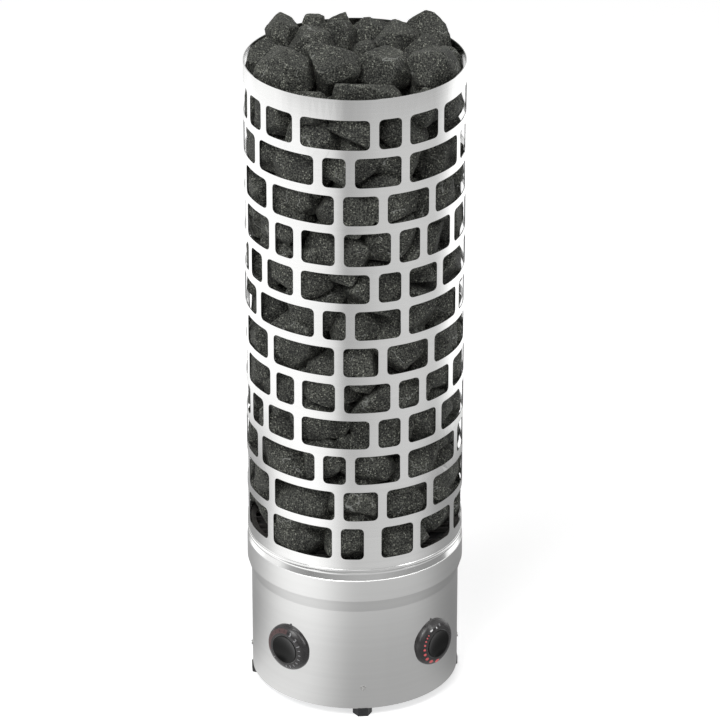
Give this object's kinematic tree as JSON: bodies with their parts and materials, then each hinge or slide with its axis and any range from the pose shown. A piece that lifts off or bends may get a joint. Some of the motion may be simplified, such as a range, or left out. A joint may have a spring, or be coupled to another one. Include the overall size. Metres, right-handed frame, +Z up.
{
  "type": "sauna heater stove",
  "caption": "Tall round electric sauna heater: perforated stainless cage of stones on a drum base with timer and thermostat dials and levelling feet.",
  "frame": {"origin": "centre of the heater on the floor, under the feet", "axes": "+Z up along the drum axis; the front, midway between the two dials, faces -Y"},
  "size_m": [0.312, 0.312, 1.0026],
  "materials": {
    "satin_steel": "satin stainless sheet",
    "polished_steel": "polished stainless ring",
    "zinc_sheet": "zinc coated sheet",
    "grate_steel": "heat darkened steel",
    "element_tube": "dull heat resistant tube",
    "bright_steel": "bright zinc",
    "black_foot_plastic": "matt black",
    "white_ceramic": "unglazed steatite",
    "copper": "copper",
    "pale_switch_plastic": "pale thermoset",
    "dial_plastic": "dark satin plastic",
    "grip_plastic": "black satin plastic",
    "red_button_plastic": "red",
    "black_gland_plastic": "black nylon",
    "brass": "brass",
    "earth_wire_sleeve": "green yellow silicone sleeve",
    "wire_sleeve": "black silicone sleeve",
    "sauna_stone": "dark olivine diabase, broken faces, pale specks"
  },
  "bodies": {
    "heater": {"base_shell": "satin_steel", "bottom_plate": "zinc_sheet", "foot_brackets": "zinc_sheet", "foot_nuts": "bright_steel", "shell_screws": "bright_steel", "collar_ring": "polished_steel", "cage": "satin_steel", "element_plate": "zinc_sheet", "deck_screws": "bright_steel", "deck_nuts": "bright_steel", "shield_spacers": "zinc_sheet", "heat_shield": "zinc_sheet", "stone_grate": "grate_steel", "heating_element_1": "element_tube", "heating_element_2": "element_tube", "heating_element_3": "element_tube", "heating_element_4": "element_tube", "heating_element_5": "element_tube", "heating_element_6": "element_tube", "element_nuts": "bright_steel", "terminal_insulators": "white_ceramic", "terminal_pins": "bright_steel", "terminal_nuts": "bright_steel", "neutral_ring": "copper", "phase_bars": "copper", "timer_bracket": "zinc_sheet", "timer_body": "pale_switch_plastic", "timer_bezel": "dial_plastic", "thermostat_bracket": "zinc_sheet", "thermostat_body": "pale_switch_plastic", "thermostat_bezel": "dial_plastic", "control_screws": "bright_steel", "limiter_body": "pale_switch_plastic", "sensor_bulbs": "copper", "capillaries": "copper", "terminal_block": "white_ceramic", "cable_gland": "black_gland_plastic", "earth_stud": "brass", "supply_wires": "wire_sleeve", "switched_wires": "wire_sleeve", "earth_wire": "earth_wire_sleeve", "stones_lower": "sauna_stone", "stones_upper": "sauna_stone", "stones_top": "sauna_stone"},
    "timer_knob": {"timer_shaft": "bright_steel", "timer_dial": "dial_plastic", "timer_grip": "grip_plastic"},
    "thermostat_knob": {"thermostat_shaft": "bright_steel", "thermostat_dial": "dial_plastic", "thermostat_grip": "grip_plastic"},
    "front_foot": {"foot_front": "black_foot_plastic", "stud_front": "bright_steel"},
    "right_foot": {"foot_right": "black_foot_plastic", "stud_right": "bright_steel"},
    "back_foot": {"foot_back": "black_foot_plastic", "stud_back": "bright_steel"},
    "left_foot": {"foot_left": "black_foot_plastic", "stud_left": "bright_steel"},
    "limiter_reset": {"reset_button": "red_button_plastic"}
  },
  "joints": [
    {"name": "timer_turn", "type": "hinge", "parent": "heater", "child": "timer_knob", "pos_m": [-0.10056, -0.1113, 0.0994], "axis": [0.6704, 0.742, 0], "range_deg": [0, 300]},
    {"name": "thermostat_turn", "type": "hinge", "parent": "heater", "child": "thermostat_knob", "pos_m": [0.10056, -0.1113, 0.0994], "axis": [-0.6704, 0.742, 0], "range_deg": [0, 270]},
    {"name": "front_foot_screw", "type": "slide", "parent": "heater", "child": "front_foot", "axis": [0, 0, -1], "range_m": [0, 0.015]},
    {"name": "right_foot_screw", "type": "slide", "parent": "heater", "child": "right_foot", "axis": [0, 0, -1], "range_m": [0, 0.015]},
    {"name": "back_foot_screw", "type": "slide", "parent": "heater", "child": "back_foot", "axis": [0, 0, -1], "range_m": [0, 0.015]},
    {"name": "left_foot_screw", "type": "slide", "parent": "heater", "child": "left_foot", "axis": [0, 0, -1], "range_m": [0, 0.015]},
    {"name": "reset_press", "type": "slide", "parent": "heater", "child": "limiter_reset", "axis": [0, 0, 1], "range_m": [0, 0.002], "stiffness_N_per_m": 800}
  ]
}
